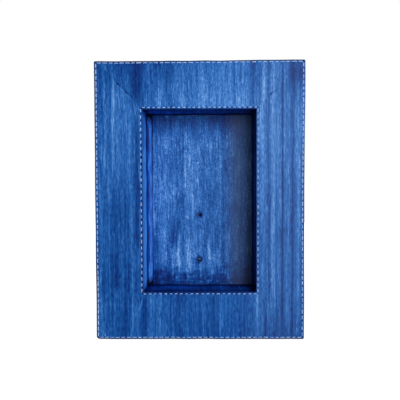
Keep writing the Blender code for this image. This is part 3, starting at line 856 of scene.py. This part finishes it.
def wall_strip(side, material):
    fold, edge = 1.2 * MM, 0.3 * MM
    front = FACE_BACK + 0.05 * MM
    profile = arc((FACE_WIDTH - edge, front + edge), edge, 270, 360, 4)
    profile += [(FACE_WIDTH, y) for y in spread((front + edge, FLANGE_FRONT - fold, 1.5 * MM))[1:-1]]
    profile += arc((FACE_WIDTH + fold, FLANGE_FRONT - fold), fold, 180, 90, 6)
    profile += [(d, FLANGE_FRONT) for d in spread((FACE_WIDTH + fold, WALL_END - edge, 1.2 * MM))[1:-1]]
    profile += arc((WALL_END - edge, FLANGE_FRONT + edge), edge, 270, 360, 4)
    profile += [(WALL_END, FLANGE_BACK), (WALL_BACK_INSET, FLANGE_BACK), (WALL_BACK_INSET, front)]
    along, inward, depth = mitred(side, profile, 1.4 * MM)
    on_wall = smooth(inward, WALL_BACK_INSET + 0.5 * MM, FACE_WIDTH)
    on_wall = on_wall * smooth(depth, FACE_BACK, FACE_BACK + 5 * MM)
    swell = 0.18 * MM * waves(along, depth, 30 * MM, 41) * on_wall
    points = place(side, along, inward + swell, depth)
    # The fold and the corners are darkened, partly pooled dye and partly painted shade; the wall is also
    # darker near its front edge.
    to_end = SIDES[side][3] - inward - np.abs(along)
    ragged = 0.5 * MM * waves(along, depth, 42 * MM, 44)
    fold_wall = smooth(depth + 3 * ragged, FLANGE_FRONT - 17 * MM, FLANGE_FRONT - 11 * MM)
    fold_flange = smooth(inward + ragged, FACE_WIDTH + 1.6 * MM, FACE_WIDTH + 0.7 * MM)
    pooled_dye_and_shade = np.where(inward > FACE_WIDTH + 0.3 * MM, fold_flange, fold_wall)
    shade = 0.08 * waves(along, depth, 40 * MM, 43) - FOLD_DYE_AND_SHADE[side] * pooled_dye_and_shade
    shade -= 0.30 * smooth(to_end, 8 * MM, 1 * MM)
    shade -= 0.26 * on_wall * smooth(depth, FACE_BACK + 10 * MM, FACE_BACK + 5 * MM)
    on_flange = smooth(inward, FACE_WIDTH + 0.3 * MM, FACE_WIDTH + 1.5 * MM)
    flange_shade, flange_grey, top_shade = LEFT_FLANGE if side == "left" else OTHER_FLANGES
    shade -= flange_shade * on_flange
    # Painted shade on the upper end of the left wall, which the top wall shades.
    shade -= top_shade * smooth(to_end, 46 * MM, 22 * MM) * (points[..., 2] > HEIGHT / 2)
    raw = 0.6 * smooth(inward, WALL_END - 0.5 * MM, WALL_END)
    attributes = {"dye_and_painted_light": shade, "grey": flange_grey * on_flange, "raw": raw}
    piece = mesh_piece(f"wall_strip_{side}", points, swept_faces(*along.shape), attributes)
    finish_piece(piece, material, "blue_lining_leather", f"wall_leather_{side}")


# ---- recess floor
def middle_of(name):
    """X and Z of the middle of a CAD piece."""
    low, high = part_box(name)
    return (low.x + high.x) / 2, (low.z + high.z) / 2


SCREW_X, SCREW_Z = middle_of("floor_screw")
# The holes in the floor leather: X, Z, radius, and how ragged the rim is. The open one is above the screw's.
FLOOR_HOLES = [
    (SCREW_X + 1.0 * MM, SCREW_Z + 48.8 * MM, 2.4 * MM, 0.12),
    (SCREW_X, SCREW_Z, 3.25 * MM, 0.08),
]
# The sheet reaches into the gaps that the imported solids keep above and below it.
SHEET_LOW = FLOOR_LOW - Vector((0, 0, 0.7 * MM))
SHEET_HIGH = FLOOR_HIGH + Vector((0, 0, 0.7 * MM))
HOLE_RINGS = 6
EDGE_ROUND = 0.6 * MM


def pierce(bm, grid, block, hole, rng):
    """Fills a block of the grid with rings of faces round a hole. Gives each vertex's share of the way."""
    i0, i1, j0, j1 = block
    x, z, radius, ragged = hole
    loop = [(i, j0) for i in range(i0, i1)] + [(i1, j) for j in range(j0, j1)]
    loop += [(i, j1) for i in range(i1, i0, -1)] + [(i0, j) for j in range(j1, j0, -1)]
    start = outer = [grid[key] for key in loop]
    tears = 1 + ragged * rng.uniform(-1, 1, len(loop))
    steps = {}
    for ring in range(1, HOLE_RINGS + 1):
        t = ring / HOLE_RINGS
        inner = []
        for vertex, tear in zip(start, tears):
            dx, dz = vertex.co.x - x, vertex.co.z - z
            length = math.hypot(dx, dz)
            reach = length + (radius * tear - length) * t
            inner.append(bm.verts.new((x + dx / length * reach, 0, z + dz / length * reach)))
            steps[inner[-1]] = t
        for k in range(len(loop)):
            n = (k + 1) % len(loop)
            bm.faces.new((outer[k], outer[n], inner[n], inner[k]))
        outer = inner
    return steps


def pierced_sheet(bm):
    """Lays a flat grid with two holes. Gives X, Z and how near its hole's rim each vertex is."""
    edge, fine, coarse = 1.6 * MM, 0.2 * MM, 0.8 * MM
    xs = spread((SHEET_LOW.x, SHEET_LOW.x + edge, fine), (SHEET_LOW.x + edge, SHEET_HIGH.x, coarse))
    low_end, high_end = SHEET_LOW.z + edge, SHEET_HIGH.z - edge
    zs = spread((SHEET_LOW.z, low_end, fine), (low_end, high_end, coarse), (high_end, SHEET_HIGH.z, fine))
    blocks = []
    for x, z, radius, _ in FLOOR_HOLES:
        across = np.searchsorted(xs, (x - radius * 2.0, x + radius * 2.0))
        upward = np.searchsorted(zs, (z - radius * 2.0, z + radius * 2.0))
        blocks.append([int(place) for place in (*across, *upward)])
    grid = {}
    for i, x in enumerate(xs):
        for j, z in enumerate(zs):
            if not any(i0 < i < i1 and j0 < j < j1 for i0, i1, j0, j1 in blocks):
                grid[i, j] = bm.verts.new((x, 0, z))
    for i in range(len(xs) - 1):
        for j in range(len(zs) - 1):
            if not any(i0 <= i < i1 and j0 <= j < j1 for i0, i1, j0, j1 in blocks):
                bm.faces.new((grid[i, j], grid[i + 1, j], grid[i + 1, j + 1], grid[i, j + 1]))
    rng = np.random.default_rng(RNG_SEED)
    steps = {}
    for block, hole in zip(blocks, FLOOR_HOLES):
        steps.update(pierce(bm, grid, block, hole, rng))
    bm.verts.index_update()
    bm.verts.ensure_lookup_table()
    x, z = np.array([(v.co.x, v.co.z) for v in bm.verts]).T
    rim = np.zeros(len(x))
    for vertex, t in steps.items():
        rim[vertex.index] = t
    return x, z, rim


def floor_sheet(material):
    """The recess floor leather, cut by hand, its left edge skived and its two holes pierced through."""
    bm = bmesh.new()
    x, z, rim = pierced_sheet(bm)
    edge = np.min([x - SHEET_LOW.x, SHEET_HIGH.x - x, z - SHEET_LOW.z, SHEET_HIGH.z - z], axis=0)
    skived = smooth(x - SHEET_LOW.x, 3.5 * MM, 0)
    y = FLOOR_LOW.y + EDGE_ROUND * rounding(edge, EDGE_ROUND) + 1.0 * MM * skived
    y += 0.14 * MM * waves(x, z, 45 * MM, 51) + 0.05 * MM * waves(x, z, 14 * MM, 52)
    # Painted shade darkens the leather round each hole, where it sinks in.
    hole_rim_shade = np.zeros_like(x)
    for hole_x, hole_z, radius, _ in FLOOR_HOLES:
        away = np.hypot(x - hole_x, z - hole_z) - radius
        y += 0.55 * MM * smooth(away, 0.7 * MM, 0) - 0.22 * MM * bump(away, 0.9 * MM, 0.6 * MM)
        hole_rim_shade += 0.34 * smooth(away, 1.9 * MM, 0.2 * MM)
    near = smooth(edge, 3 * MM, 0)
    x += 0.30 * MM * near * waves(z, z, 22 * MM, 53)
    z += 0.30 * MM * near * waves(x, x, 22 * MM, 54)
    for vertex, spot in zip(bm.verts, zip(x, y, z)):
        vertex.co = spot
    mesh = bpy.data.meshes.new("floor_sheet")
    bm.to_mesh(mesh)
    bm.free()
    patchy = 0.35 + 0.8 * waves(x, z, 26 * MM, 55) + 0.5 * waves(x, z, 4 * MM, 56)
    raw = 0.30 * smooth(edge, 0.9 * MM, 0.3 * MM) * np.clip(patchy, 0.05, 1)
    torn = 0.5 * smooth(rim, 0.80, 0.97) * np.clip(0.75 - 0.5 * waves(x, z, 5 * MM, 57), 0.2, 1)
    # Greyer toward the right: a painted sheen on the shadowed right of the floor; slightly greyer too above
    # the bottom end.
    dull = 0.04 * smooth(z, 50 * MM, 80 * MM) + 0.34 * smooth(x, 24 * MM, 42 * MM)
    shade = floor_dye_and_shade(x / MM, z / MM) - hole_rim_shade
    set_attributes(mesh, {"dye_and_painted_light": shade, "grey": dull, "raw": np.maximum(raw, torn)})
    mesh.shade_smooth()
    piece = add_object("floor_sheet", mesh)
    thicken(piece, FLOOR_HIGH.y - FLOOR_LOW.y, 1.0)
    finish_piece(piece, material, "blue_leather", "floor_leather")


# ---- thread
# Length in which the thread's plies turn once.
THREAD_LAY = 3.6 * MM


def stitches(row, material):
    """Every stitch of a row: a short length of three-ply thread that dives into a hole at each end."""
    rng = np.random.default_rng(RNG_SEED + len(row))
    line = STITCH_LINES[row]
    around, sections = 12, 25
    angles = np.linspace(0, 2 * math.pi, around, endpoint=False)
    t = np.linspace(0, 1, sections)
    sag = np.abs(2 * t - 1) ** 4
    points, faces, stain = [], [], []
    start = 0
    for side in SIDES:
        holes = stitch_holes(row, side)
        for first, last in zip(holes[:-1], holes[1:]):
            slant = rng.uniform(-0.16, 0.16) * MM
            lift = rng.uniform(0.05, 0.22) * MM
            radius = rng.uniform(0.46, 0.56) * MM
            length = (last - first) * STITCH_SHOWN[row] * rng.uniform(0.88, 1.08)
            along = (first + last) / 2 + length * (t - 0.5)
            depth = FRONT - lift + sag * 0.95 * MM
            inward = line + slant * (2 * t - 1)
            twist = length / THREAD_LAY * 2 * math.pi * t + rng.uniform(0, 3)
            ply = radius * (0.80 + 0.24 * np.abs(np.cos(1.5 * (angles[None, :] - twist[:, None]))))
            ply = ply * (1 - 0.30 * sag)[:, None]
            ring_in = inward[:, None] + ply * np.cos(angles)
            ring_depth = depth[:, None] + 0.8 * ply * np.sin(angles)
            ring_on = np.broadcast_to(along[:, None], ring_in.shape)
            points.append(place(side, ring_on, ring_in, ring_depth).reshape(-1, 3))
            faces += [[index + start for index in face] for face in swept_faces(sections, around)]
            start += sections * around
            dyed = np.clip(STITCH_STAIN[row][side] + rng.normal(0, 0.22), 0, 1)
            stain.append(np.full(sections * around, dyed))
    attributes = {"stain": np.concatenate(stain)}
    piece = mesh_piece(f"{row}_stitches", np.concatenate(points), faces, attributes, sharp_angle=80)
    finish_piece(piece, material, "cream_thread", f"{row}_thread")


# ---- screws and hangers
def screw(name, facing, material, slot_turn):
    """A slotted domed screw in the place of a CAD screw, whose head faces +Y or -Y."""
    low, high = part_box(name)
    centre_x, centre_z = middle_of(name)
    radius = (high.x - low.x) / 2
    top = high.y if facing > 0 else low.y
    length = high.y - low.y
    height = radius * 0.5
    shank = radius * 0.48
    slant = np.linspace(0.001, math.pi / 2 * 0.9, 9)
    dome = [(radius * math.sin(a), height * math.cos(a) - height) for a in slant]
    rim = dome[-1][1]
    profile = dome + [(radius, rim - 0.15 * MM), (radius, rim - 0.35 * MM), (shank, rim - 0.4 * MM)]
    profile += [(shank, shank * 2 - length), (0.001 * MM, -length)]
    steps = 40
    angles = np.linspace(0, 2 * math.pi, steps, endpoint=False)
    rings = np.array([[(r * math.cos(a), facing * h, r * math.sin(a)) for a in angles] for r, h in profile])
    rings += (centre_x, top, centre_z)
    piece = mesh_piece(f"{name}_detailed", rings, swept_faces(len(profile), steps), sharp_angle=40)
    slot = bmesh.new()
    size = Matrix.Diagonal((radius * 0.30, height * 0.9, radius * 2.4, 1))
    turn = Matrix.Translation((centre_x, top, centre_z)) @ Matrix.Rotation(slot_turn, 4, "Y")
    bmesh.ops.create_cube(slot, size=1.0, matrix=turn @ size)
    slot_mesh = bpy.data.meshes.new(f"{name}_slot")
    slot.to_mesh(slot_mesh)
    slot.free()
    cutter = add_object(f"{name}_slot", slot_mesh)
    modifier = piece.modifiers.new("slot", "BOOLEAN")
    modifier.operation = "DIFFERENCE"
    modifier.object = cutter
    depsgraph = bpy.context.evaluated_depsgraph_get()
    cut_mesh = bpy.data.meshes.new_from_object(piece.evaluated_get(depsgraph))
    piece.modifiers.clear()
    piece.data = cut_mesh
    cut_mesh.set_sharp_from_angle(angle=math.radians(40))
    bpy.data.objects.remove(cutter, do_unlink=True)
    finish_piece(piece, material, "brass_screw", name)


BARREL_HOLE = 1.6 * MM


def hanger_axis(side):
    """Y and Z of the line that a ring's bar lies on, which is the ring's top less the wire's radius."""
    low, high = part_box(f"hanger_ring_{side}")
    wire = (high.y - low.y) / 2
    return low.y + wire, high.z - wire


def hanger_strap(side, material):
    """A steel strap with a round foot, curled round the ring's bar at its top."""
    low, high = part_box(f"hanger_plate_{side}")
    axis_y, axis_z = hanger_axis(side)
    barrel = axis_y - low.y
    thickness = barrel - BARREL_HOLE
    middle = barrel - thickness / 2
    half_width = (high.x - low.x) / 2
    centre_x = (low.x + high.x) / 2
    foot = low.z + half_width * (1 - np.cos(np.linspace(0.02, math.pi / 2, 16)))
    shaft = np.linspace(low.z + half_width, axis_z, 12)[1:]
    straight = [(axis_y - middle, z) for z in (*foot, *shaft)]
    curl = arc((axis_y, axis_z), middle, 180, -118, 28)[1:]
    path = np.array(straight + curl)
    rise = np.clip((path[:, 1] - low.z) / half_width, 0, 1)
    rise[len(straight):] = 1
    widths = half_width * np.sqrt(1 - (1 - rise) ** 2)
    across = np.linspace(-1, 1, 13)
    x = centre_x + widths[:, None] * across
    y = np.broadcast_to(path[:, :1], x.shape)
    z = np.broadcast_to(path[:, 1:], x.shape)
    piece = mesh_piece(f"hanger_strap_{side}", np.stack([x, y, z], axis=-1), grid_faces(*x.shape))
    thicken(piece, thickness, 0)
    edges = piece.modifiers.new("soft_edges", "BEVEL")
    edges.width = 0.18 * MM
    edges.segments = 2
    edges.limit_method = "ANGLE"
    edges.angle_limit = math.radians(50)
    finish_piece(piece, material, "nickel_steel", f"hanger_plate_{side}")


def d_ring(side, material):
    """A D-shaped ring of round wire, its straight bar in the strap's curl."""
    low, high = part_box(f"hanger_ring_{side}")
    axis_y, axis_z = hanger_axis(side)
    wire = (high.y - low.y) / 2
    centre_x = (low.x + high.x) / 2
    half = (high.x - low.x) / 2 - wire
    leg = axis_z - (low.z + wire) - half
    corner = 3.0 * MM
    line = arc((half - corner, -corner), corner, 90, 0, 10)
    line += arc((0, -leg), half, 0, -180, 48)
    line += arc((corner - half, -corner), corner, 180, 90, 10)
    line += [(x, 0) for x in np.linspace(corner - half, half - corner, 14)[1:-1]]
    line = np.array(line)
    forward = np.roll(line, -1, axis=0) - np.roll(line, 1, axis=0)
    forward = forward / np.hypot(*forward.T)[:, None]
    angles = np.linspace(0, 2 * math.pi, 18, endpoint=False)
    x = centre_x + line[:, :1] + wire * forward[:, 1:] * np.cos(angles)
    z = axis_z + line[:, 1:] - wire * forward[:, :1] * np.cos(angles)
    y = np.broadcast_to(axis_y + wire * np.sin(angles), x.shape)
    faces = grid_faces(*x.shape, round_rows=True, round_columns=True)
    piece = mesh_piece(f"d_ring_{side}", np.stack([x, y, z], axis=-1), faces)
    finish_piece(piece, material, "nickel_steel", f"hanger_ring_{side}", body=f"ring_{side}")


def give(material, *names):
    for name in names:
        put_on(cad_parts[name], material)


# ---- making
make_camera()
make_lights()
make_floor()

ALONG_X, CROSSWISE, UPRIGHT = (1, 0, 0), (0, 1, 0), (0, 0, 1)
face_material = leather("brushed_leather", UPRIGHT, 0.50, 0.92, sway=0.5)
side_material = leather("side_leather_upright", UPRIGHT, 0.45)
cross_material = leather("side_leather_crosswise", ALONG_X, 0.45)
floor_material = leather("floor_leather_brushed", UPRIGHT, 0.57, 1.15, sway=2.0, length=0.42)
top_material = leather("brushed_leather_top", UPRIGHT, 0.50, 0.92, sway=0.7, length=0.7)
# Each wall's lining is one leather made lighter or darker: partly dye, partly painted light, the left wall
# lit from the right and the right wall in shade.
lining_dye_and_light = by_side(0.50, 0.49, 1.00, 0.32)
for side_name in SIDES:
    upright = side_name in ("left", "right")
    face_rail(side_name, top_material if side_name == "top" else face_material)
    side_strip(side_name, side_material if upright else cross_material)
    grain = UPRIGHT if upright else CROSSWISE
    light = lining_dye_and_light[side_name]
    lining = leather(f"lining_{side_name}", grain, light, 0.7, gloss=0.08, stops=LINING_RAMP)
    wall_strip(side_name, lining)
floor_sheet(floor_material)

thread = thread_material()
stitches("outer", thread)
stitches("inner", thread)

brass = metal("aged_brass", screen(176, 146, 98), screen(84, 66, 46), 0.35)
# The floor screw's metal is tinted blue-grey.
bronze = metal("blue_tinted_bronze", screen(76, 104, 152), screen(32, 56, 106), 0.5)
nickel = metal("nickel_plate", screen(206, 204, 198), screen(150, 148, 142), 0.22)
screw("floor_screw", -1, bronze, math.radians(4))
# Every screw's slot was left at its own angle.
turns = np.random.default_rng(RNG_SEED).uniform(-1.5, 1.5, 6)
back_screws = [name for name in sorted(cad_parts) if name.startswith(("back_screw", "hanger_screw"))]
for name, turn in zip(back_screws, turns):
    screw(name, 1, brass, turn)
for side_name in ("left", "right"):
    hanger_strap(side_name, nickel)
    d_ring(side_name, nickel)

pine_pale, pine_dark = screen(226, 190, 138), screen(190, 146, 96)
pine_upright = wood("pine_upright", pine_pale, pine_dark, UPRIGHT)
pine_cross = wood("pine_crosswise", pine_pale, pine_dark, ALONG_X)
for layer_name in ("face_board", "side_board", "wall_board"):
    give(pine_upright, f"{layer_name}_left", f"{layer_name}_right")
    give(pine_cross, f"{layer_name}_top", f"{layer_name}_bottom")
give(pine_upright, *[f"corner_block_{corner}" for corner in ("tl", "tr", "bl", "br")])
give(wood("birch_ply", screen(214, 182, 138), screen(178, 142, 100), ALONG_X), "floor_board")
# The hardboard is coloured near-black blue so that the floor's open hole shows dark: painted shade.
give(wood("hardboard", screen(34, 34, 44), screen(18, 19, 28), (0, 0, 0)), "back_board")
give(suede(), "back_lining")
